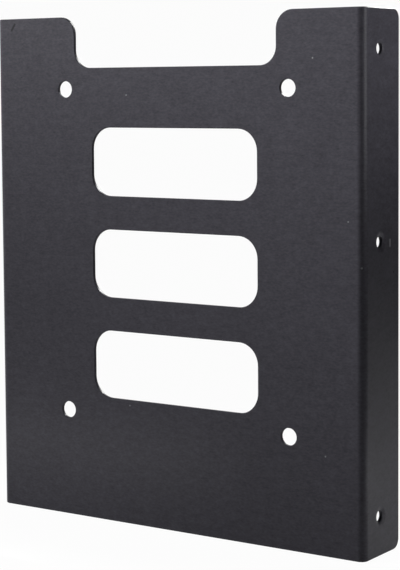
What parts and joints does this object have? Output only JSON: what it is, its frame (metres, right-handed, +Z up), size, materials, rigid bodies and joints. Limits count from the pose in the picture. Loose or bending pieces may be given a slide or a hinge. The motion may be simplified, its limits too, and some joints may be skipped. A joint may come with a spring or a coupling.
{
  "type": "drive bay adapter bracket",
  "caption": "Folded sheet-steel channel that holds a small drive on its vented, notched web and screws into a larger drive bay by the tapped holes in its side flanges.",
  "frame": {"origin": "on the plane that the lower end stands on, below the middle of the part's box", "axes": "+X across the channel, towards the right flange as seen from the web's outer side; +Y from the web's outer face towards the free edges of the flanges; +Z up the length, towards the connector notch"},
  "size_m": [0.1016, 0.0156, 0.119],
  "materials": {
    "powder_coat": "fine-textured satin black powder coat on folded sheet steel"
  },
  "bodies": {
    "root": {"bracket": "powder_coat"}
  },
  "joints": []
}
